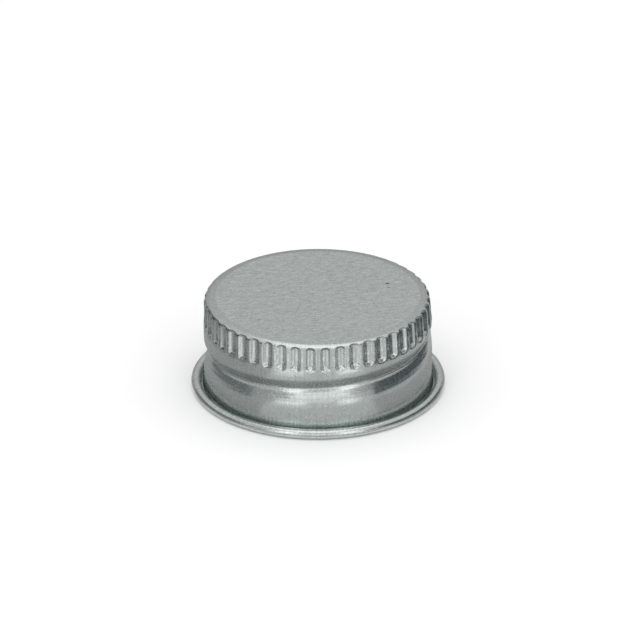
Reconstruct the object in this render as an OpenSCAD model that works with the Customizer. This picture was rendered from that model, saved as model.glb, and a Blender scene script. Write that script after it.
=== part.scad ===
// Drawn aluminium screw cap for a bottle: fluted head, rolled thread, curled foot and a sealing liner.
// The cap stands on its curl, axis upright, with the origin at the middle of the plane it stands on.

/* [Body] */
// Outside diameter of the drawn cup, the same at the head and the skirt
body_d = 28.4; // [26:0.1:34]
// Height from the foot to the top panel
cap_h = 12.15; // [11.95:0.05:16]
// Thickness of the aluminium sheet
sheet = 0.25; // [0.2:0.01:0.28]
// Outside radius of the corner between the top panel and the side
corner_r = 1; // [0.6:0.05:1]

/* [Flutes] */
// Number of flutes pressed into the side of the head
flute_count = 48; // [36:1:52]
// Depth of a flute
flute_depth = 0.42; // [0.2:0.02:0.46]
// Width of a flute where it meets the side
flute_w = 1.25; // [0.9:0.05:1.3]
// Distance from the top panel down to the upper end of a flute
flute_top_drop = 0.4; // [0.3:0.05:0.6]
// Distance from the top panel down to the lower end of a flute
flute_foot_drop = 3.55; // [2.6:0.05:3.6]

/* [Thread] */
// Rise of the thread in one turn, six turns to the inch
thread_pitch = 4.233; // [3.629:0.001:4.233]
// Depth of the thread's groove
thread_depth = 0.7; // [0.5:0.05:0.75]
// Distance from the top panel down to the groove's upper edge at the front of the cap
thread_drop = 4.85; // [4.8:0.05:5]
// Angle from the front of the cap round to the thread's upper end
thread_end_angle = 108; // [96:1:110]
// Turn of the thread from its lower end to its upper end
thread_turn = 384; // [344:4:384]
// Turn over which the groove runs out at each end
runout_turn = 40; // [32:4:56]
// Height of the groove's upper flank
upper_flank_h = 0.7; // [0.5:0.05:0.75]
// Height of the groove's floor
floor_h = 0.2; // [0.15:0.05:0.3]
// Height of the steep part of the lower flank
lower_flank_h = 0.5; // [0.4:0.05:0.6]
// Height of the long slope that runs from the lower flank out to the skirt
slope_h = 1.9; // [1.2:0.1:2]
// Share of the groove's depth at which the long slope starts
slope_depth_share = 0.55; // [0.4:0.05:0.6]
// Depth by which the thread's crest is worn flat inside the cap
crest_flat = 0.02; // [0.014:0.002:0.024]

/* [Curl] */
// Distance that the curl stands out from the body
curl_reach = 1.6; // [1.5:0.05:2.5]
// Diameter of the rolled curl
curl_d = 1.24; // [1:0.02:1.3]
// Turn of the sheet round the curl
curl_turn = 290; // [270:5:320]
// Radius of the bend between the skirt and the curl
foot_bend_r = 0.27; // [0.2:0.01:0.4]

/* [Liner] */
// Thickness of the sealing liner
liner_h = 1; // [0.6:0.1:1.4]
// Radial gap between the liner and the nearer of the thread's crest and the corner, for putting the liner in
liner_gap = 0.05; // [0.05:0.05:0.3]

/* [Hidden] */
$fn = 96;
overrun = 0.5;
thread_steps = 48;
runout_clear = 0.1;
rib_share = 0.5;

body_r = body_d / 2;
foot_z = sheet + foot_bend_r;
panel_z = cap_h - sheet;
crest_r = (body_r - sheet - thread_depth) * cos(thread_turn / thread_steps / 2) + crest_flat;
liner_r = min(crest_r, body_r - corner_r) - liner_gap;
liner_z = panel_z - liner_h;

flute_r = (flute_w * flute_w / 4 + flute_depth * flute_depth) / (2 * flute_depth);
flute_axis_r = body_r + flute_r - flute_depth;
flute_ball_z = cap_h - flute_foot_drop + flute_r;
flute_top_z = cap_h - flute_top_drop;

thread_z = cap_h - thread_drop;

curl_r = curl_d / 2;
curl_axis_r = body_r + curl_reach - curl_r;

// The groove seen in section: distance out from the side, then height from the groove's upper edge.
lip_z = -upper_flank_h - floor_h - lower_flank_h;
slope_depth = thread_depth * slope_depth_share;
slope_end_z = lip_z - slope_h * (slope_depth + runout_clear) / slope_depth;
groove = [
    [overrun, overrun * upper_flank_h / thread_depth],
    [-thread_depth, -upper_flank_h],
    [-thread_depth, -upper_flank_h - floor_h],
    [-slope_depth, lip_z],
    [runout_clear, slope_end_z],
    [overrun, slope_end_z]
];

// Unit vector square to the line from one point to another, pointing out of the groove.
function outward(a, b) = [-(a - b)[1], (a - b)[0]] / norm(a - b);

// An outline with every side moved out by a gap.
function grown(points, gap) = [
    for (i = [0 : len(points) - 1])
        let (before = points[(i + len(points) - 1) % len(points)])
        let (after = points[(i + 1) % len(points)])
        let (first = outward(before, points[i]))
        let (second = outward(points[i], after))
        points[i] + gap * (first + second) / (1 + first * second)
];

// Share of the way out of the sheet at a turn along the thread: none along its length, all at its ends.
function runout_share(turn) =
    let (near = min(turn, thread_turn - turn) / runout_turn)
    near >= 1 ? 0 : (1 + cos(180 * near)) / 2;

// A quarter of a disc: what lies in a square whose lower left corner is at the given place.
module quarter(radius, across, up) {
    intersection() {
        circle(radius);
        translate([across, up])
            square(radius);
    }
}

// The drawn cup's skin, moved in from the outside by an inset.
module cup(inset, low) {
    corner_z = cap_h - corner_r;
    rotate_extrude() {
        translate([0, low])
            square([body_r - inset, corner_z - low]);
        translate([0, corner_z])
            square([body_r - corner_r, corner_r - inset]);
        translate([body_r - corner_r, corner_z])
            quarter(corner_r - inset, 0, 0);
    }
}

// One flute's hollow with a ball end at its foot, grown by an inset.
module flute(inset) {
    radius = flute_r + inset;
    translate([0, 0, flute_ball_z])
        rotate_extrude() {
            square([radius, flute_top_z + inset - flute_ball_z]);
            quarter(radius, 0, -radius);
        }
}

// The ring of flutes, with a rib between two of them at the front.
module flutes(inset) {
    for (i = [0 : flute_count - 1])
        rotate((i + rib_share) * 360 / flute_count - 90)
            translate([flute_axis_r, 0])
                flute(inset);
}

// The thread's groove as it lies in a skin moved in by an inset, turn by turn along a right-hand helix.
module thread(inset) {
    section = grown(groove, inset);
    count = len(section);
    step = thread_turn / thread_steps;
    spots = [
        for (i = [0 : thread_steps])
            let (turn = i * step)
            let (front_angle = thread_end_angle - thread_turn + turn)
            let (out = body_r + runout_share(turn) * (thread_depth + runout_clear))
            for (p = section)
                [
                    (out + p[0]) * sin(front_angle),
                    -(out + p[0]) * cos(front_angle),
                    thread_z + thread_pitch * front_angle / 360 + p[1]
                ]
    ];
    sides = [
        for (i = [0 : thread_steps - 1])
            for (j = [0 : count - 1])
                let (a = i * count + j)
                let (b = i * count + (j + 1) % count)
                each [[a, b, b + count], [a, b + count, a + count]]
    ];
    low_end = [for (j = [count - 1 : -1 : 0]) j];
    high_end = [for (j = [0 : count - 1]) thread_steps * count + j];
    polyhedron(points = spots, faces = concat(sides, [low_end, high_end]));
}

// The formed cup as a solid, moved in from the outside by an inset.
module form(inset, low) {
    difference() {
        cup(inset, low);
        flutes(inset);
        thread(inset);
    }
}

// The bend at the foot and the curl rolled up outside it, seen in section.
module foot_section() {
    translate([body_r + foot_bend_r, foot_z])
        difference() {
            quarter(foot_z, -foot_z, -foot_z);
            circle(foot_bend_r);
        }
    translate([body_r + foot_bend_r, 0])
        square([curl_axis_r - body_r - foot_bend_r, sheet]);
    translate([curl_axis_r, curl_r])
        difference() {
            circle(curl_r);
            circle(curl_r - sheet);
            polygon([
                [0, 0],
                [0, -curl_d],
                [-curl_d, -curl_d],
                curl_d * [cos(curl_turn - 90), sin(curl_turn - 90)]
            ]);
        }
}

module shell() {
    color([0.78, 0.79, 0.8]) {
        difference() {
            form(0, foot_z);
            form(sheet, foot_z - overrun);
            translate([0, 0, foot_z - overrun])
                cylinder(r = crest_r, h = liner_z + overrun - foot_z);
        }
        rotate_extrude()
            foot_section();
    }
}

module liner() {
    color([0.93, 0.93, 0.91])
        translate([0, 0, liner_z])
            cylinder(r = liner_r, h = liner_h);
}

shell();
liner();
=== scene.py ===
import math
from typing import NamedTuple

import bpy
import numpy as np
from bpy.props import FloatProperty, FloatVectorProperty, IntProperty, PointerProperty
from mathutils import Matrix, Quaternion, Vector


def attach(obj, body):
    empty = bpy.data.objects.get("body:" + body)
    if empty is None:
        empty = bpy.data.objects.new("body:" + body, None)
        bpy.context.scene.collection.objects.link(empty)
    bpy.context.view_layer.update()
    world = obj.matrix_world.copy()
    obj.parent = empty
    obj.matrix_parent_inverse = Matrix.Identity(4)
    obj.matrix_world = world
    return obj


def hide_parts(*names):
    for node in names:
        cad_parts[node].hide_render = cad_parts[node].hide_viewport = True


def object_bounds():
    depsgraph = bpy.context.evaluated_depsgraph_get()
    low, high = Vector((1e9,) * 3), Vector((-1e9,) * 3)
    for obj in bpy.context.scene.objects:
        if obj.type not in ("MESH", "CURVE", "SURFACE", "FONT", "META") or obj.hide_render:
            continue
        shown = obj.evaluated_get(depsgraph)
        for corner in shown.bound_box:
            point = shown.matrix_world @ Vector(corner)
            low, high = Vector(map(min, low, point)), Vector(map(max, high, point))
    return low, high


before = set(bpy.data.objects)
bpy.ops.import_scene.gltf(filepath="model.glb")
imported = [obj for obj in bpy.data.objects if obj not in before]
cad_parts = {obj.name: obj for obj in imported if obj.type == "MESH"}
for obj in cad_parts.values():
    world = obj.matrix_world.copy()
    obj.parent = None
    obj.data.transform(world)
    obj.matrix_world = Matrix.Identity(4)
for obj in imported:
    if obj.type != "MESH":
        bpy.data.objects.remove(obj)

bl_info = {
    "name": "Aluminium Bottle Cap",
    "version": (1, 0, 0),
    "blender": (4, 5, 0),
    "location": "View3D > Sidebar > Bottle Cap",
    "description": "Forms a drawn aluminium screw cap with flutes, a rolled thread, a curl and a liner",
    "category": "Object",
}

CAD_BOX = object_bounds()
MM = 0.001
CAD_HEIGHT = CAD_BOX[1][2] / MM


def length(name, text, millimetres):
    """A length that a user can change, given here in millimetres."""
    return FloatProperty(name=name, description=text, default=millimetres * MM, unit="LENGTH", precision=5)


def share(name, text, value):
    """A share between none and all."""
    return FloatProperty(name=name, description=text, default=value, min=0.0, max=1.0, subtype="FACTOR")


def angle(name, text, degrees):
    """An angle, given here in degrees."""
    return FloatProperty(name=name, description=text, default=math.radians(degrees), unit="ROTATION")


def level(name, text, value):
    """A level of light."""
    return FloatProperty(name=name, description=text, default=value, min=0.0)


def colour(name, text, value):
    """A colour in linear light."""
    return FloatVectorProperty(
        name=name, description=text, default=value, size=3, min=0.0, max=1.0, subtype="COLOR"
    )


class ShellSizes(bpy.types.PropertyGroup):
    """Sizes of the formed aluminium shell"""

    body_d: length("Body", "Outside diameter of the drawn cup", 28.4)
    cap_h: length("Height", "Height from the foot to the top panel", CAD_HEIGHT)
    sheet: length("Sheet", "Thickness of the sheet", 0.25)
    corner_r: length("Corner", "Room that the corner takes up inside the sheet", 1.0)
    panel_r: length("Panel", "Radius of the flat top panel inside its sloping rim", 12.7)
    rim_r: length("Rim bend", "Radius of the bend between the sloping rim and the side", 0.95)
    rim_fall: angle("Rim slope", "Slope at which the rim falls from the top panel", 6)
    # Down to this depth the sheet takes the rim's material: the drawn side's, with its colour darkened as
    # painted shade.
    rim_finish: length("Rim finish", "How far below the top panel the rim's own finish ends", 0.225)
    flute_count: IntProperty(name="Flutes", description="Number of flutes in the head", default=48, min=12)
    flute_depth: length("Flute depth", "Depth of a flute", 0.46)
    flute_w: length("Flute width", "Width of a flute where it meets the side", 1.25)
    flute_top_drop: length("Flute top", "Distance from the top panel to where a flute's top rounds off", 0.6)
    flute_foot_drop: length("Flute foot", "Distance from the top panel to the lower end of a flute", 3.55)
    flute_lean: length("Flute lean", "How far the flutes' feet rise and fall from side to side", 0.2)
    top_lean: length("Top lean", "How far the flutes' upper ends rise and fall from side to side", 0.14)
    top_dip: length("Top dip", "How much lower the flutes' upper ends are at the front", 0.38)
    dip_turn: angle("Dip turn", "Turn to each side of the front over which the dip fades", 18)
    press_limit: length("Press limit", "Deepest place of the flutes' upper ends", 0.82)
    rib_drop: length("Rib drop", "How far the ribs between the flutes lie below the side", 0.09)
    rib_lean: length("Rib lean", "How much further in the ribs lie under the rim at the front", 0.12)
    flute_edge: length("Flute edge", "Rounding of the edge between a flute and a rib", 0.08)
    thread_pitch: length("Pitch", "Rise of the thread in one turn", 4.233)
    thread_depth: length("Thread depth", "Depth of the rolled groove", 0.7)
    thread_drop: length("Thread drop", "Distance from the top panel to the groove's edge at the front", 4.85)
    thread_end: angle("Thread end", "Angle from the front round to the thread's upper end", 108)
    thread_turn: angle("Thread turn", "Turn of the thread from end to end", 384)
    runout_turn: angle("Run-out", "Turn over which the groove runs out at each end", 40)
    groove_edge: length("Groove edge", "Rounding of the groove's edges", 0.06)
    curl_reach: length("Curl reach", "Distance that the curl stands out from the body", 1.59)
    curl_d: length("Curl", "Diameter of the rolled curl", 1.24)
    curl_turn: angle("Curl turn", "Turn of the sheet round the curl", 290)
    foot_bend_r: length("Foot bend", "Radius of the bend between the skirt and the curl", 0.27)


class SheetFinish(bpy.types.PropertyGroup):
    """Finish of the bare aluminium sheet"""

    metal: colour("Metal", "Colour of the bare sheet", (0.58, 0.62, 0.605))
    # The dark colour serves both the real marks on the top panel and the painted shade under the side's
    # down-facing places; the next share sets how strong that painted shade is.
    mark: colour("Marks", "Colour of the small dark marks and of the film", (0.035, 0.038, 0.038))
    film: share("Film", "Share of the dull film on the side where it faces downwards", 0.9)
    # The rim keeps the drawn side's finish, with its colour darkened by this share as painted shade.
    rim_painted_shade: share("Rim shade", "Brightness of the rim against the rest of the sheet", 0.87)
    roughness: share("Roughness", "Roughness of the satin sheet", 0.24)
    speckle: length("Speckle", "Size of the fine speckle in the sheet", 0.26)
    grain_turn: angle("Grain", "Direction of the rolling grain on the top panel", 12)


class LinerFinish(bpy.types.PropertyGroup):
    """Finish of the foamed sealing liner"""

    foam: colour("Foam", "Colour of the liner", (0.86, 0.86, 0.83))
    cell: length("Cells", "Size of the foam's cells", 0.22)


class StageSizes(bpy.types.PropertyGroup):
    """Floor, lights and camera"""

    floor: colour("Floor", "Colour of the floor", (0.93, 0.93, 0.93))
    floor_w: length("Floor width", "Width of the floor", 2400)
    world: level("Room light", "Level of the light from all round", 1.29)
    world_seen: level("Room seen", "Level at which the room is seen", 0.95)
    camera_rise: angle("Camera rise", "Angle of the camera above the floor", 26.3)
    camera_far: length("Camera distance", "Distance from the camera to the cap", 1000)
    frame_w: length("Frame", "Width of the picture at the cap", 79.5)
    aim_x: length("Aim across", "How far to the right of the axis the camera aims", 0.27)
    camera_roll: angle("Camera roll", "Turn of the camera about its own line of sight", -0.25)
    aim_z: length("Aim up", "Height at which the camera aims", 8.78)


# The groove in section: height from its upper edge in millimetres, then share of its depth.
GROOVE_SECTION = (
    (-4.6, 0),
    (-3.6, 0),
    (-3.0, 0.1),
    (-2.27, 0.34),
    (-2.17, 0.41),
    (-1.62, 0.66),
    (-1.4, 0.84),
    (-1.34, 0.95),
    (-1.28, 1),
    (-1.16, 0.96),
    (0, 0.16),
    (0.15, 0.07),
    (0.75, 0),
    (1.6, 0),
)
# Distance between the heights at which the groove is worked out, in millimetres.
GROOVE_STEP = 0.01
# How many roundings the bell that softens the groove reaches to each side.
BELL_REACH = 4
# Number of heights, up to one sheet's thickness above and below, from which the inside is worked out.
OFFSET_COUNT = 41
# Depth by which the thread's crest is worn flat inside the cap, in millimetres.
CREST_WORN = 0.05

# Rounding where two pressed forms meet, in millimetres.
FORM_EDGE = 0.02
# Steepness at which a flute's hollow leaves the sheet outside its own width.
HOLLOW_RISE = 2
# How much more than at the front the ribs lean on the right, and how much less on the left, as a share.
RIB_LEAN_SIDE = 1.6
# Share of its thickness that the sheet loses where the flutes are pressed deepest.
PRESS_THINNING = 0.4

# Radii of the rings of the top panel and of its underside, in millimetres.
PANEL_RINGS = (0, 3, 6.5, 9.5, 11.6)
UNDER_RINGS = (9, 4, 0)
# Width of the ring on each side of the panel's edge, in millimetres.
PANEL_EDGE = 0.1
# Heights between which the side has close rows for the thread, in millimetres.
THREAD_TOP = 8.2
THREAD_FOOT = 3.6
# Rows of the mesh along each stretch of the sheet.
RIM_ROWS = 22
HEAD_ROWS = 26
THREAD_ROWS = 44
SKIRT_ROWS = 16
BEND_ROWS = 7
CURL_INNER_ROWS = 8
CURL_OUTER_ROWS = 26
WALL_ROWS = 34
CORNER_ROWS = 6
# Places of the mesh's columns from the middle of one rib to the next, close at a flute's edges.
FLUTE_SHARES = (0, 0.11, 0.165, 0.22, 0.34, 0.5, 0.66, 0.78, 0.835, 0.89)

# Slopes of the side, distance in for each step down, at which the painted shade under down-facing places
# starts and is full.
SHADE_START = 0.15
SHADE_FULL = 1.0

# Order of the shell's materials; the rim's is the drawn side's with its colour darkened as painted shade.
TOP_FINISH, SIDE_FINISH, RIM_FINISH = range(3)


def soft_part(value, rounding):
    """The positive part of a value, with a rounded corner at zero."""
    return 0.5 * (value + np.sqrt(value * value + rounding * rounding))


class FormedSheet:
    """The shell's section and the forms pressed and rolled into its side, in millimetres and degrees."""

    def __init__(self, sizes):
        for name, prop in sizes.bl_rna.properties.items():
            if prop.type == "INT":
                setattr(self, name, getattr(sizes, name))
            elif prop.type == "FLOAT" and prop.unit == "LENGTH":
                setattr(self, name, getattr(sizes, name) / MM)
            elif prop.type == "FLOAT":
                setattr(self, name, math.degrees(getattr(sizes, name)))
        self.body_r = self.body_d / 2
        self.corner_z = self.cap_h - self.corner_r
        self.foot_z = self.sheet + self.foot_bend_r
        self.curl_r = self.curl_d / 2
        self.curl_axis = self.body_r + self.curl_reach - self.curl_r
        self.flute_pitch = 360 / self.flute_count
        self.flute_r = (self.flute_w ** 2 / 4 + self.flute_depth ** 2) / (2 * self.flute_depth)
        self.ball_z = self.cap_h - self.flute_foot_drop + self.flute_r
        self.thread_z = self.cap_h - self.thread_drop
        self.groove_heights, self.groove_outside, self.groove_inside = self.groove()

    def groove(self):
        """Heights from the groove's upper edge, with its depth at each outside and inside the sheet."""
        spots, shares = zip(*GROOVE_SECTION)
        heights = np.arange(spots[0], spots[-1] + GROOVE_STEP / 2, GROOVE_STEP)
        sharp = np.interp(heights, spots, shares) * self.thread_depth
        bell_step = GROOVE_STEP / self.groove_edge
        bell = np.exp(-np.arange(-BELL_REACH, BELL_REACH + bell_step / 2, bell_step) ** 2 / 2)
        padded = np.pad(sharp, len(bell) // 2, mode="edge")
        outside = np.convolve(padded, bell / bell.sum(), mode="valid")[: len(heights)]
        inside = outside
        for offset in np.linspace(-self.sheet, self.sheet, OFFSET_COUNT):
            rise = math.sqrt(max(self.sheet ** 2 - offset ** 2, 0)) - self.sheet
            inside = np.maximum(inside, np.interp(heights + offset, heights, outside) + rise)
        return heights, outside, np.minimum(inside, self.thread_depth - CREST_WORN)

    def flute_depths(self, phi, z, inset):
        """How far the flutes press into the side at an angle from the front and a height."""
        across = self.body_r * np.radians(phi % self.flute_pitch - self.flute_pitch / 2)
        to_right = np.sin(np.radians(phi))
        front = np.exp(-(((phi + 180) % 360 - 180) / self.dip_turn) ** 2)
        ball_z = self.ball_z + self.flute_lean * to_right
        top_z = self.cap_h - self.flute_top_drop + self.top_lean * to_right - self.top_dip * front
        away = np.hypot(across, z - np.clip(z, ball_z, top_z))
        radius = self.flute_r + inset
        depth = np.sqrt(np.maximum(radius ** 2 - away ** 2, 0)) - (self.flute_r - self.flute_depth) - inset
        depth = depth - HOLLOW_RISE * np.maximum(away - radius, 0)
        ribs = self.rib_drop * np.clip((z - ball_z + self.flute_r) / (2 * self.flute_r), 0, 1)
        upper = np.exp((np.minimum(z - top_z, self.flute_r) - self.flute_r) / self.flute_w)
        ribs = ribs + self.rib_lean * (1 + RIB_LEAN_SIDE * to_right) * upper
        pressed = ribs + soft_part(depth, self.flute_edge)
        limit = self.press_limit - PRESS_THINNING * inset
        return pressed - soft_part(pressed - limit, FORM_EDGE)

    def thread_depths(self, phi, z, inset):
        """How far the rolled thread presses into the side at an angle from the front and a height."""
        depth = np.zeros(np.broadcast(phi, z).shape)
        groove = self.groove_inside if inset else self.groove_outside
        for turn in (-360, 0, 360):
            along = phi + turn - (self.thread_end - self.thread_turn)
            near = np.clip(np.minimum(along, self.thread_turn - along) / self.runout_turn, 0, 1)
            kept = (1 - np.cos(np.pi * near)) / 2
            height = z - self.thread_z - self.thread_pitch * (phi + turn) / 360
            depth = np.maximum(depth, kept * np.interp(height, self.groove_heights, groove))
        return depth

    def side(self, phi, z, plain_r, inset):
        """Radius of the side at an angle and a height, from its radius before it is pressed and rolled."""
        pressed = self.body_r - inset - self.flute_depths(phi, z, inset) - self.thread_depths(phi, z, inset)
        return plain_r - soft_part(plain_r - pressed, FORM_EDGE)

    def section(self):
        """The whole outline of the sheet as rows of radius, height and kind: top, side, inside or plain."""
        rows = []

        def arc(r, z, radius, start, end, count, kind):
            """Add rows along an arc about a point, from one angle to another."""
            for a in np.radians(np.linspace(start, end, count)):
                rows.append((r + radius * math.cos(a), z + radius * math.sin(a), kind))

        def upright(r, start, end, count, kind):
            """Add rows along an upright line, without its first point."""
            rows.extend((r, z, kind) for z in np.linspace(start, end, count)[1:])

        rim_axis = self.body_r - self.rim_r
        fall = math.radians(self.rim_fall)
        bend_r = rim_axis + self.rim_r * math.sin(fall)
        rim_z = self.cap_h - (bend_r - self.panel_r) * math.tan(fall) - self.rim_r * math.cos(fall)
        for r in PANEL_RINGS + (self.panel_r - PANEL_EDGE,):
            rows.append((r, self.cap_h, "top"))
        for r in (self.panel_r, self.panel_r + PANEL_EDGE, (self.panel_r + bend_r) / 2):
            rows.append((r, self.cap_h - (r - self.panel_r) * math.tan(fall), "side"))
        arc(rim_axis, rim_z, self.rim_r, 90 - self.rim_fall, 0, RIM_ROWS, "side")
        upright(self.body_r, rim_z, THREAD_TOP, HEAD_ROWS, "side")
        upright(self.body_r, THREAD_TOP, THREAD_FOOT, THREAD_ROWS, "side")
        upright(self.body_r, THREAD_FOOT, self.foot_z, SKIRT_ROWS, "side")

        bend = self.body_r + self.foot_bend_r
        middle = (bend + self.curl_axis) / 2
        curl_end = self.curl_turn - 90
        arc(bend, self.foot_z, self.foot_bend_r, 180, 270, BEND_ROWS, "plain")
        rows.append((middle, self.sheet, "plain"))
        arc(self.curl_axis, self.curl_r, self.curl_r - self.sheet, -90, curl_end, CURL_INNER_ROWS, "plain")
        arc(self.curl_axis, self.curl_r, self.curl_r, curl_end, -90, CURL_OUTER_ROWS, "plain")
        rows.append((middle, 0, "plain"))
        arc(bend, self.foot_z, self.foot_z, 270, 180, BEND_ROWS, "plain")

        upright(self.body_r - self.sheet, self.foot_z, self.corner_z, WALL_ROWS, "inside")
        corner_axis = self.body_r - self.corner_r
        arc(corner_axis, self.corner_z, self.corner_r - self.sheet, 0, 90, CORNER_ROWS, "inside")
        for r in UNDER_RINGS:
            rows.append((r, self.cap_h - self.sheet, "plain"))
        return rows

    def columns(self):
        """Angles from the front, closer together at the edges of each flute."""
        turns = [(i + s) * self.flute_pitch for i in range(self.flute_count) for s in FLUTE_SHARES]
        return np.array(turns) - 180

    def surface(self):
        """Radius and height of every row at every angle, with each row's way along the sheet and kind."""
        phi = self.columns()
        rows = self.section()
        radii = np.zeros((len(rows), len(phi)))
        heights = np.zeros_like(radii)
        walked = [0.0]
        for i, (r, z, kind) in enumerate(rows):
            radii[i] = r
            heights[i] = z
            if kind in ("side", "inside"):
                radii[i] = self.side(phi, heights[i], r, self.sheet if kind == "inside" else 0)
            if i:
                walked.append(walked[-1] + math.hypot(r - rows[i - 1][0], z - rows[i - 1][1]))
        return phi, radii, heights, walked, [kind for r, z, kind in rows]


def under_edges(radii, heights, kinds):
    """How much painted shade each place of the side takes: it is painted where the sheet faces downwards,
    under overhangs.
    """
    slope = np.zeros_like(radii)
    for i in range(1, len(kinds) - 1):
        if kinds[i] == "side" and kinds[i + 1] == "side" and heights[i - 1, 0] > heights[i + 1, 0]:
            slope[i] = (radii[i - 1] - radii[i + 1]) / (heights[i - 1] - heights[i + 1])
    return np.clip((slope - SHADE_START) / (SHADE_FULL - SHADE_START), 0, 1)


def sheet_faces(form, phi, heights, walked, kinds):
    """The shell's faces, with the corners of each on the rolled-out sheet and its finish."""
    faces, places, finishes = [], [], []
    count = len(phi)
    last = len(kinds) - 3
    top = (last + 1) * count
    turn = np.radians(phi)
    along = np.append(turn, turn[0] + 2 * math.pi) * form.body_r
    rim_foot = form.cap_h - form.rim_finish
    for j in range(count):
        k = (j + 1) % count
        faces.append((top, j, k))
        places.append(((along[j], 0), (along[j], walked[1]), (along[j + 1], walked[1])))
        finishes.append(TOP_FINISH)
    for i in range(last):
        a, b = i * count, (i + 1) * count
        high, low = walked[i + 1], walked[i + 2]
        if kinds[i + 1] == "top":
            finish = TOP_FINISH
        # Rows near the top take the rim's material, with its painted shade.
        elif heights[i + 2, 0] > rim_foot:
            finish = RIM_FINISH
        else:
            finish = SIDE_FINISH
        for j in range(count):
            k = (j + 1) % count
            faces.append((a + j, b + j, b + k, a + k))
            places.append(((along[j], high), (along[j], low), (along[j + 1], low), (along[j + 1], high)))
            finishes.append(finish)
    a = last * count
    for j in range(count):
        k = (j + 1) % count
        faces.append((a + j, top + 1, a + k))
        places.append(((along[j], walked[-2]), (along[j], walked[-1]), (along[j + 1], walked[-2])))
        finishes.append(SIDE_FINISH)
    return faces, places, finishes


def sheet_mesh(name, form):
    """The shell as one closed mesh, with its place on the rolled-out sheet as a UV map and its painted shade
    under down-facing places.
    """
    phi, radii, heights, walked, kinds = form.surface()
    turn = np.radians(phi)
    rings = np.stack([radii * np.sin(turn), -radii * np.cos(turn), heights], axis=-1)[1:-1].reshape(-1, 3)
    middles = [(0, 0, heights[0, 0]), (0, 0, heights[-1, 0])]
    points = np.vstack([rings, middles]) * MM
    faces, places, finishes = sheet_faces(form, phi, heights, walked, kinds)
    mesh = bpy.data.meshes.new(name)
    mesh.from_pydata(points.tolist(), [], faces)
    uv = mesh.uv_layers.new(name="Sheet")
    uv.data.foreach_set("uv", (np.array([p for face in places for p in face]) * MM).ravel())
    mesh.polygons.foreach_set("material_index", finishes)
    # Painted shade: a share for each point that darkens the side where it faces downwards, under the rim and
    # in the groove.
    film = mesh.attributes.new("film", "FLOAT", "POINT")
    film.data.foreach_set("value", np.append(under_edges(radii, heights, kinds)[1:-1].ravel(), (0, 0)))
    mesh.polygons.foreach_set("use_smooth", [True] * len(faces))
    mesh.update()
    if mesh.validate():
        raise RuntimeError("the shell's mesh has faults")
    return mesh


def set_sockets(node, values):
    """Set a node's input sockets from their names."""
    for label, value in values.items():
        node.inputs[label].default_value = value


def node_group(name, inputs):
    """A new shader group with named value and vector inputs, which puts out a mask."""
    group = bpy.data.node_groups.new(name, "ShaderNodeTree")
    for label, kind in inputs:
        group.interface.new_socket(label, in_out="INPUT", socket_type="NodeSocket" + kind)
    group.interface.new_socket("Mask", in_out="OUTPUT", socket_type="NodeSocketFloat")
    return group, group.nodes.new("NodeGroupInput"), group.nodes.new("NodeGroupOutput")


def speckle_group():
    """Fine even speckle of bare sheet, from a place and a size."""
    group, given, made = node_group("Fine speckle", [("Place", "Vector"), ("Size", "Float")])
    per = group.nodes.new("ShaderNodeMath")
    per.operation = "DIVIDE"
    per.inputs[0].default_value = 1.0
    noise = group.nodes.new("ShaderNodeTexNoise")
    set_sockets(noise, {"Detail": 3.0, "Roughness": 0.7})
    spread = group.nodes.new("ShaderNodeMapRange")
    set_sockets(spread, {"From Min": 0.28, "From Max": 0.72})
    link = group.links.new
    link(given.outputs["Size"], per.inputs[1])
    link(given.outputs["Place"], noise.inputs["Vector"])
    link(per.outputs[0], noise.inputs["Scale"])
    link(noise.outputs["Fac"], spread.inputs["Value"])
    link(spread.outputs["Result"], made.inputs["Mask"])
    return group


def grain_group():
    """Long thin lines left by rolling or drawing, running along one direction of a place."""
    inputs = [("Place", "Vector"), ("Turn", "Float"), ("Width", "Float"), ("Length", "Float")]
    group, given, made = node_group("Drawn grain", inputs)
    spin = group.nodes.new("ShaderNodeVectorRotate")
    spin.rotation_type = "Z_AXIS"
    pack = group.nodes.new("ShaderNodeCombineXYZ")
    ratio = group.nodes.new("ShaderNodeVectorMath")
    ratio.operation = "DIVIDE"
    noise = group.nodes.new("ShaderNodeTexNoise")
    set_sockets(noise, {"Scale": 1.0, "Detail": 2.0})
    spread = group.nodes.new("ShaderNodeMapRange")
    set_sockets(spread, {"From Min": 0.3, "From Max": 0.7})
    link = group.links.new
    link(given.outputs["Place"], spin.inputs["Vector"])
    link(given.outputs["Turn"], spin.inputs["Angle"])
    link(given.outputs["Length"], pack.inputs["X"])
    link(given.outputs["Width"], pack.inputs["Y"])
    link(given.outputs["Width"], pack.inputs["Z"])
    link(spin.outputs["Vector"], ratio.inputs[0])
    link(pack.outputs["Vector"], ratio.inputs[1])
    link(ratio.outputs["Vector"], noise.inputs["Vector"])
    link(noise.outputs["Fac"], spread.inputs["Value"])
    link(spread.outputs["Result"], made.inputs["Mask"])
    return group


def shared_group(name, build):
    """The node group of that name, built when it is first asked for."""
    return bpy.data.node_groups.get(name) or build()


# Places of the colour sockets on a Mix node: its two inputs and its output.
MIX_FIRST, MIX_SECOND, MIX_RESULT = 6, 7, 2


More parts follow.
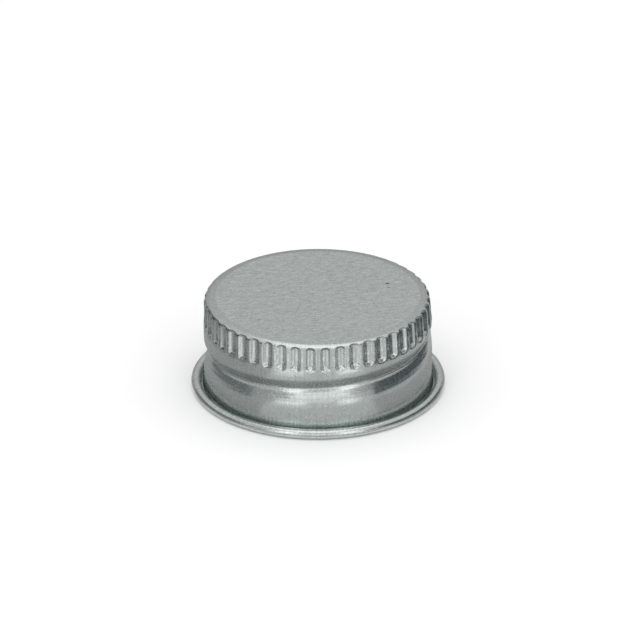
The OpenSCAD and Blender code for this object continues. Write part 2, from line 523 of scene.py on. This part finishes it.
class Finish:
    """A material under construction, with short calls for its nodes."""

    def __init__(self, name):
        self.material = bpy.data.materials.new(name)
        self.material.use_nodes = True
        self.tree = self.material.node_tree
        self.shader = self.tree.nodes["Principled BSDF"]

    def node(self, kind, **values):
        """A new node with its settings."""
        made = self.tree.nodes.new(kind)
        for key, value in values.items():
            setattr(made, key, value)
        return made

    def feed(self, socket, value):
        """Link a socket to another node's output, or set it to a number or a colour."""
        if isinstance(value, bpy.types.NodeSocket):
            self.tree.links.new(value, socket)
        elif socket.type == "RGBA":
            socket.default_value = tuple(value) + (1.0,)
        else:
            socket.default_value = value

    def set(self, label, value):
        """Feed one of the shader's own sockets."""
        self.feed(self.shader.inputs[label], value)

    def speckle(self, place, size):
        """Mask of fine speckle."""
        made = self.node("ShaderNodeGroup", node_tree=shared_group("Fine speckle", speckle_group))
        self.feed(made.inputs["Place"], place)
        self.feed(made.inputs["Size"], size)
        return made.outputs["Mask"]

    def grain(self, place, turn, line_w, line_l):
        """Mask of long thin lines."""
        made = self.node("ShaderNodeGroup", node_tree=shared_group("Drawn grain", grain_group))
        for label, value in (("Place", place), ("Turn", turn), ("Width", line_w), ("Length", line_l)):
            self.feed(made.inputs[label], value)
        return made.outputs["Mask"]

    def worked(self, operation, first, second):
        """Two values added, multiplied or the like."""
        made = self.node("ShaderNodeMath", operation=operation)
        self.feed(made.inputs[0], first)
        self.feed(made.inputs[1], second)
        return made.outputs[0]

    def ranged(self, value, low, high, from_low=0.0, from_high=1.0):
        """A value moved from one range into another."""
        made = self.node("ShaderNodeMapRange")
        self.feed(made.inputs["Value"], value)
        set_sockets(made, {"From Min": from_low, "From Max": from_high, "To Min": low, "To Max": high})
        return made.outputs["Result"]

    def mixed(self, factor, first, second):
        """Two colours mixed."""
        made = self.node("ShaderNodeMix", data_type="RGBA")
        self.feed(made.inputs["Factor"], factor)
        self.feed(made.inputs[MIX_FIRST], first)
        self.feed(made.inputs[MIX_SECOND], second)
        return made.outputs[MIX_RESULT]

    def moved(self, operation, place, by):
        """A place shifted or scaled."""
        made = self.node("ShaderNodeVectorMath", operation=operation)
        self.feed(made.inputs[0], place)
        self.feed(made.inputs[1], by)
        return made.outputs["Vector"]

    def bump(self, height, depth, below=None):
        """A normal raised by a height, on top of another normal where one is given."""
        made = self.node("ShaderNodeBump")
        self.feed(made.inputs["Distance"], depth)
        self.feed(made.inputs["Height"], height)
        if below:
            self.feed(made.inputs["Normal"], below)
        return made.outputs["Normal"]


def scaled(tint, factor):
    """A colour made lighter or darker."""
    return tuple(min(c * factor, 1.0) for c in tint)


class SheetWork(NamedTuple):
    """What working the sheet left in it: lines, in millimetres, their share in its tone and its contrast."""

    line_w: float
    line_l: float
    line_relief: float
    line_share: float
    contrast: float


ROLLED = SheetWork(line_w=0.14, line_l=1.1, line_relief=0.0025, line_share=0.5, contrast=0.4)
DRAWN = SheetWork(line_w=0.22, line_l=3.2, line_relief=0.002, line_share=0.3, contrast=0.24)
# Height of the fine speckle in millimetres, and how much wider the clouds in the roughness are.
SPECKLE_RELIEF = 0.003
CLOUD_WIDTH = 22
# How far the roughness moves up and down with the clouds and with the speckle.
CLOUD_ROUGHNESS = 0.03
SPECKLE_ROUGHNESS = 0.05


def bare_sheet(name, finish, work, shade=1.0):
    """Bare satin aluminium: the flat top keeps its straight rolling grain, the side was drawn downwards."""
    made = Finish(name)
    top = work is ROLLED
    spots = made.node("ShaderNodeTexCoord").outputs
    solid = spots["Object"]
    fine = made.speckle(solid, finish.speckle)
    cloud = made.speckle(solid, finish.speckle * CLOUD_WIDTH)
    place = solid if top else spots["UV"]
    turn = -finish.grain_turn if top else math.pi / 2
    lines = made.grain(place, turn, work.line_w * MM, work.line_l * MM)
    # A shade below one darkens the whole colour: this is the rim's painted shade.
    metal = scaled(finish.metal, shade)
    dark, light = scaled(metal, 1 - work.contrast), scaled(metal, 1 + work.contrast)
    base = made.mixed(work.line_share, made.mixed(fine, dark, light), made.mixed(lines, dark, light))
    if top:
        base = top_marks(made, solid, base, finish.mark)
    else:
        # Painted shade: the side's colour is mixed towards the dark colour where the sheet faces downwards.
        film = made.node("ShaderNodeAttribute", attribute_name="film").outputs["Fac"]
        base = made.mixed(made.worked("MULTIPLY", film, finish.film), base, finish.mark)
    made.set("Base Color", base)
    made.set("Metallic", 1.0)
    cloudy = made.ranged(cloud, -CLOUD_ROUGHNESS, CLOUD_ROUGHNESS)
    speckled = made.ranged(fine, -SPECKLE_ROUGHNESS, SPECKLE_ROUGHNESS)
    uneven = made.worked("ADD", cloudy, speckled)
    made.set("Roughness", made.worked("ADD", uneven, finish.roughness))
    lined = made.bump(lines, work.line_relief * MM)
    made.set("Normal", made.bump(fine, SPECKLE_RELIEF * MM, lined))
    return made.material


class Mark(NamedTuple):
    """A small dark mark on the top panel: place and half sizes in millimetres, and turn in degrees."""

    x: float
    y: float
    long: float
    wide: float
    turn: float


TOP_MARKS = (
    Mark(8.66, 3.37, 0.32, 0.2, 27),
    Mark(8.84, 2.24, 0.13, 0.17, 0),
    Mark(6.12, 1.12, 0.12, 0.1, 0),
    Mark(6.92, -2.24, 0.13, 0.08, 10),
    Mark(1.2, 11.8, 0.1, 0.1, 0),
    Mark(-7.24, -6.73, 0.13, 0.09, 30),
)
# How dark a mark is in its middle, and where it starts and ends to fade as shares of its size.
MARK_STRENGTH = 0.9
MARK_CORE = 0.45
MARK_EDGE = 1.2


def top_marks(made, place, base, tint):
    """The base colour with the small dark marks of the top panel on it."""
    for mark in TOP_MARKS:
        shifted = made.moved("SUBTRACT", place, (mark.x * MM, mark.y * MM, 0))
        spin = made.node("ShaderNodeVectorRotate", rotation_type="Z_AXIS")
        made.feed(spin.inputs["Vector"], shifted)
        made.feed(spin.inputs["Angle"], -math.radians(mark.turn))
        size = (1 / (mark.long * MM), 1 / (mark.wide * MM), 0)
        far = made.node("ShaderNodeVectorMath", operation="LENGTH")
        made.feed(far.inputs[0], made.moved("MULTIPLY", spin.outputs["Vector"], size))
        there = made.ranged(far.outputs["Value"], MARK_STRENGTH, 0.0, MARK_CORE, MARK_EDGE)
        base = made.mixed(there, base, tint)
    return base


# How much wider the foam's clouds are than its cells, and how dark the clouds and the cells' walls are.
FOAM_CLOUD_WIDTH = 14
FOAM_CLOUD_SHADE = 0.95
FOAM_WALL_SHADE = 0.9
# Width of a cell's wall as a share of the cell, and heights of the cells and of the speckle in millimetres.
FOAM_WALL_SHARE = 0.25
FOAM_CELL_RELIEF = 0.02
FOAM_SPECKLE_RELIEF = 0.01
# Lowest and highest roughness of the foam.
FOAM_ROUGHNESS = (0.5, 0.68)


def foam(name, finish):
    """White foamed sheet with fine closed cells."""
    made = Finish(name)
    place = made.node("ShaderNodeTexCoord").outputs["Object"]
    fine = made.speckle(place, finish.cell)
    cloud = made.speckle(place, finish.cell * FOAM_CLOUD_WIDTH)
    cells = made.node("ShaderNodeTexVoronoi", feature="DISTANCE_TO_EDGE")
    made.feed(cells.inputs["Scale"], 1 / finish.cell)
    made.feed(cells.inputs["Vector"], place)
    wall = made.ranged(cells.outputs["Distance"], 0.0, 1.0, 0.0, FOAM_WALL_SHARE)
    tone = made.mixed(cloud, scaled(finish.foam, FOAM_CLOUD_SHADE), finish.foam)
    made.set("Base Color", made.mixed(wall, scaled(finish.foam, FOAM_WALL_SHADE), tone))
    made.set("Roughness", made.ranged(fine, *FOAM_ROUGHNESS))
    speckled = made.bump(fine, FOAM_SPECKLE_RELIEF * MM)
    made.set("Normal", made.bump(wall, FOAM_CELL_RELIEF * MM, speckled))
    return made.material


class CAP_OT_form_shell(bpy.types.Operator):
    """Form the aluminium shell with its flutes, rolled thread and curl"""

    bl_idname = "bottle_cap.form_shell"
    bl_label = "Form shell"
    bl_options = {"REGISTER", "UNDO"}

    def execute(self, context):
        scene = context.scene
        finish = scene.cap_sheet
        mesh = sheet_mesh("formed_shell", FormedSheet(scene.cap_shell))
        mesh.materials.append(bare_sheet("Rolled top", finish, ROLLED))
        mesh.materials.append(bare_sheet("Drawn side", finish, DRAWN))
        # The rim: the drawn side's material with its colour darkened as painted shade.
        mesh.materials.append(bare_sheet("Drawn rim", finish, DRAWN, finish.rim_painted_shade))
        shell = bpy.data.objects.new("formed_shell", mesh)
        scene.collection.objects.link(shell)
        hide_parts("shell")
        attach(shell, "root")
        return {"FINISHED"}


class CAP_OT_finish_liner(bpy.types.Operator):
    """Give the sealing liner its foam finish"""

    bl_idname = "bottle_cap.finish_liner"
    bl_label = "Finish liner"
    bl_options = {"REGISTER", "UNDO"}

    def execute(self, context):
        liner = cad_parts["liner"]
        liner.data.materials.clear()
        liner.data.materials.append(foam("Liner foam", context.scene.cap_liner))
        return {"FINISHED"}


class SoftBox(NamedTuple):
    """An area light: its level, its place as angles in degrees and a distance, and its size in metres."""

    name: str
    level: float
    turn: float
    rise: float
    far: float
    width: float
    height: float


SOFT_BOXES = (
    SoftBox("Front left", level=1.3, turn=-28, rise=27, far=0.35, width=0.09, height=0.16),
    SoftBox("Front right", level=1.3, turn=28, rise=27, far=0.35, width=0.09, height=0.16),
    SoftBox("Overhead", level=0.64, turn=-8, rise=88, far=0.5, width=0.44, height=0.64),
    SoftBox("Front fill", level=0.7, turn=0, rise=7, far=0.6, width=0.6, height=0.24),
)
# Point that the lights face.
LIGHT_AIM = (0, 0, 0.006)


class Card(NamedTuple):
    """A card bent round one side of the set and seen only as a reflection.

    It has angles along its length, distance and height of its two edges in millimetres, and its look.
    With a reach, it fades out for places that are further away than that.
    """

    name: str
    turns: tuple
    section: tuple
    tone: float
    glow: float = 0.0
    tint: tuple = (1.0, 1.0, 1.0)
    reach: float = 0.0


# Sections of the cards: upright strips round the cap, and mats that lie just above the floor, darker than it
# as painted shade of the floor round the cap.
WALL = ((34, 0), (34, 9.5))
HIGH_WALL = ((34, 0), (34, 12.5))
LOW_BAND = ((22, 12.5), (22, 18.5))
HIGH_BAND = ((22, 16), (22, 28))
LIP = ((30, 0), (30, 3))
RAISED_LIP = ((30, 0.5), (30, 3.6))
GROUND = ((16.5, 0.2), (900, 0.2))
NEAR_GROUND = ((16.5, 0.2), (24, 0.2))
FAR_GROUND = ((24, 0.2), (900, 0.2))

LEFT_TURNS = (-180, -156, -132, -108, -84, -60, -38)
FRONT_TURNS = (-38, -12, 12, 38)
RIGHT_TURNS = (38, 60, 84, 108, 132, 156, 180)

CARDS = (
    Card("Left flag", (-114, -95, -76, -56), WALL, tone=0.2, tint=(0.9, 1.0, 1.0)),
    Card("Right flag", (44, 68, 92, 116), HIGH_WALL, tone=0.1, tint=(0.82, 1.0, 1.06)),
    Card("Left rim flag", (-110, -90, -70, -50, -31), LOW_BAND, tone=0.1, reach=16),
    Card("Right rim flag", (22, 44, 65, 86, 107), HIGH_BAND, tone=0.07, reach=16),
    # Mats seen only in reflection, darker than the floor: painted shade of the floor round the cap, deepest
    # at the sides and near the cap on the right.
    Card("Left mat", LEFT_TURNS, GROUND, tone=0.38),
    Card("Front mat", FRONT_TURNS, GROUND, tone=0.58),
    Card("Right mat near", RIGHT_TURNS, NEAR_GROUND, tone=0.39),
    Card("Right mat far", RIGHT_TURNS, FAR_GROUND, tone=0.55),
    # Glowing cards seen only in reflection: painted highlights on the skirt, which glow though no lamp
    # stands there.
    Card("Left reflector", (-33, -21, -10), RAISED_LIP, tone=0.75, glow=0.7),
    Card("Right reflector", (16, 23, 30), LIP, tone=0.77, glow=1.1),
)
# Shares of its reach between which a card fades out.
FADE_START = 0.75
FADE_END = 1.25


def round_place(turn, rise, far):
    """A point at an angle to the right of the camera's side, an angle above the floor and a distance."""
    a, e = math.radians(turn), math.radians(rise)
    return (far * math.cos(e) * math.sin(a), -far * math.cos(e) * math.cos(a), far * math.sin(e))


def hang_light(box):
    """Add a soft box of an even brightness, turned to face the cap."""
    data = bpy.data.lights.new(box.name, "AREA")
    data.shape = "RECTANGLE"
    data.size = box.width
    data.size_y = box.height
    data.energy = box.level * math.pi * box.width * box.height
    lamp = bpy.data.objects.new(box.name, data)
    lamp.location = round_place(box.turn, box.rise, box.far)
    lamp.rotation_euler = (Vector(LIGHT_AIM) - lamp.location).to_track_quat("-Z", "Y").to_euler()
    bpy.context.scene.collection.objects.link(lamp)


def stand_card(card):
    """Add a card to the set."""
    points = []
    for turn in card.turns:
        for far, high in card.section:
            x, y = round_place(turn, 0, far * MM)[:2]
            points.append((x, y, high * MM))
    faces = [(i, i + 2, i + 3, i + 1) for i in range(0, len(points) - 2, 2)]
    mesh = bpy.data.meshes.new(card.name)
    mesh.from_pydata(points, [], faces)
    paper = Finish(card.name)
    paper.set("Base Color", scaled(card.tint, card.tone))
    paper.set("Roughness", 1.0)
    paper.set("Emission Color", (1.0, 1.0, 1.0))
    paper.set("Emission Strength", card.glow)
    if card.reach:
        way = paper.node("ShaderNodeLightPath").outputs["Ray Length"]
        reach = card.reach * MM
        paper.set("Alpha", paper.ranged(way, 1.0, 0.0, reach * FADE_START, reach * FADE_END))
    mesh.materials.append(paper.material)
    made = bpy.data.objects.new(card.name, mesh)
    bpy.context.scene.collection.objects.link(made)
    made.visible_camera = False
    made.visible_diffuse = False
    made.visible_shadow = False


def lay_floor(stage):
    """Lay the plain pale floor."""
    half = stage.floor_w / 2
    corners = [(-half, -half, 0), (half, -half, 0), (half, half, 0), (-half, half, 0)]
    mesh = bpy.data.meshes.new("floor")
    mesh.from_pydata(corners, [], [(0, 1, 2, 3)])
    paper = Finish("Floor paper")
    paper.set("Base Color", stage.floor)
    paper.set("Roughness", 0.9)
    paper.set("Specular IOR Level", 0.0)
    mesh.materials.append(paper.material)
    floor = bpy.data.objects.new("floor", mesh)
    bpy.context.scene.collection.objects.link(floor)


def room(name, plain, seen):
    """Even light from all round, dimmer towards the horizon, with its own level where it is seen."""
    world = bpy.data.worlds.new(name)
    world.use_nodes = True
    tree = world.node_tree
    background = tree.nodes["Background"]
    view = tree.nodes.new("ShaderNodeTexCoord")
    parts = tree.nodes.new("ShaderNodeSeparateXYZ")
    ramp = tree.nodes.new("ShaderNodeMapRange")
    ramp.interpolation_type = "SMOOTHSTEP"
    set_sockets(ramp, {"From Min": 0.0, "From Max": 0.75, "To Min": 0.41, "To Max": 0.77})
    path = tree.nodes.new("ShaderNodeLightPath")
    either = tree.nodes.new("ShaderNodeMath")
    either.operation = "MAXIMUM"
    sight = tree.nodes.new("ShaderNodeMath")
    sight.operation = "MAXIMUM"
    strength = tree.nodes.new("ShaderNodeMapRange")
    set_sockets(strength, {"To Min": plain, "To Max": seen})
    link = tree.links.new
    link(view.outputs["Generated"], parts.inputs["Vector"])
    link(parts.outputs["Z"], ramp.inputs["Value"])
    link(ramp.outputs["Result"], background.inputs["Color"])
    link(path.outputs["Is Camera Ray"], either.inputs[0])
    link(path.outputs["Is Glossy Ray"], either.inputs[1])
    link(either.outputs["Value"], sight.inputs[0])
    link(path.outputs["Is Transmission Ray"], sight.inputs[1])
    link(sight.outputs["Value"], strength.inputs["Value"])
    link(strength.outputs["Result"], background.inputs["Strength"])
    return world


def aim_camera(stage):
    """Add the camera and aim it at the cap."""
    data = bpy.data.cameras.new("Camera")
    data.sensor_width = 36.0
    data.lens = data.sensor_width * stage.camera_far / stage.frame_w
    data.clip_start = 0.01
    data.clip_end = 20.0
    camera = bpy.data.objects.new("Camera", data)
    bpy.context.scene.collection.objects.link(camera)
    target = Vector((stage.aim_x, 0, stage.aim_z))
    rise = stage.camera_rise
    camera.location = target + stage.camera_far * Vector((0, -math.cos(rise), math.sin(rise)))
    level_turn = (target - camera.location).to_track_quat("-Z", "Y")
    camera.rotation_euler = (level_turn @ Quaternion((0, 0, 1), stage.camera_roll)).to_euler()
    return camera


class CAP_OT_set_stage(bpy.types.Operator):
    """Set the floor, the lights and the camera"""

    bl_idname = "bottle_cap.set_stage"
    bl_label = "Set stage"
    bl_options = {"REGISTER", "UNDO"}

    def execute(self, context):
        scene = context.scene
        stage = scene.cap_stage
        lay_floor(stage)
        scene.world = room("Room", stage.world, stage.world_seen)
        for box in SOFT_BOXES:
            hang_light(box)
        for card in CARDS:
            stand_card(card)
        scene.camera = aim_camera(stage)
        scene.view_settings.view_transform = "Standard"
        return {"FINISHED"}


class CAP_PT_parts(bpy.types.Panel):
    """The cap's pieces and stage"""

    bl_label = "Bottle Cap"
    bl_idname = "CAP_PT_parts"
    bl_space_type = "VIEW_3D"
    bl_region_type = "UI"
    bl_category = "Bottle Cap"

    def draw(self, context):
        for operator in OPERATORS:
            self.layout.operator(operator.bl_idname)


GROUPS = (
    ("cap_shell", ShellSizes),
    ("cap_sheet", SheetFinish),
    ("cap_liner", LinerFinish),
    ("cap_stage", StageSizes),
)
OPERATORS = (CAP_OT_form_shell, CAP_OT_finish_liner, CAP_OT_set_stage)


def register():
    """Make the sizes, the operators and the panel known to Blender."""
    for name, group in GROUPS:
        bpy.utils.register_class(group)
        setattr(bpy.types.Scene, name, PointerProperty(type=group))
    for operator in OPERATORS:
        bpy.utils.register_class(operator)
    bpy.utils.register_class(CAP_PT_parts)


def unregister():
    """Take them out again, the last one first."""
    bpy.utils.unregister_class(CAP_PT_parts)
    for operator in reversed(OPERATORS):
        bpy.utils.unregister_class(operator)
    for name, group in reversed(GROUPS):
        delattr(bpy.types.Scene, name)
        bpy.utils.unregister_class(group)


def main():
    """Build the cap and its stage."""
    register()
    bpy.ops.bottle_cap.form_shell()
    bpy.ops.bottle_cap.finish_liner()
    bpy.ops.bottle_cap.set_stage()
    bpy.context.view_layer.update()


if __name__ == "__main__":
    main()
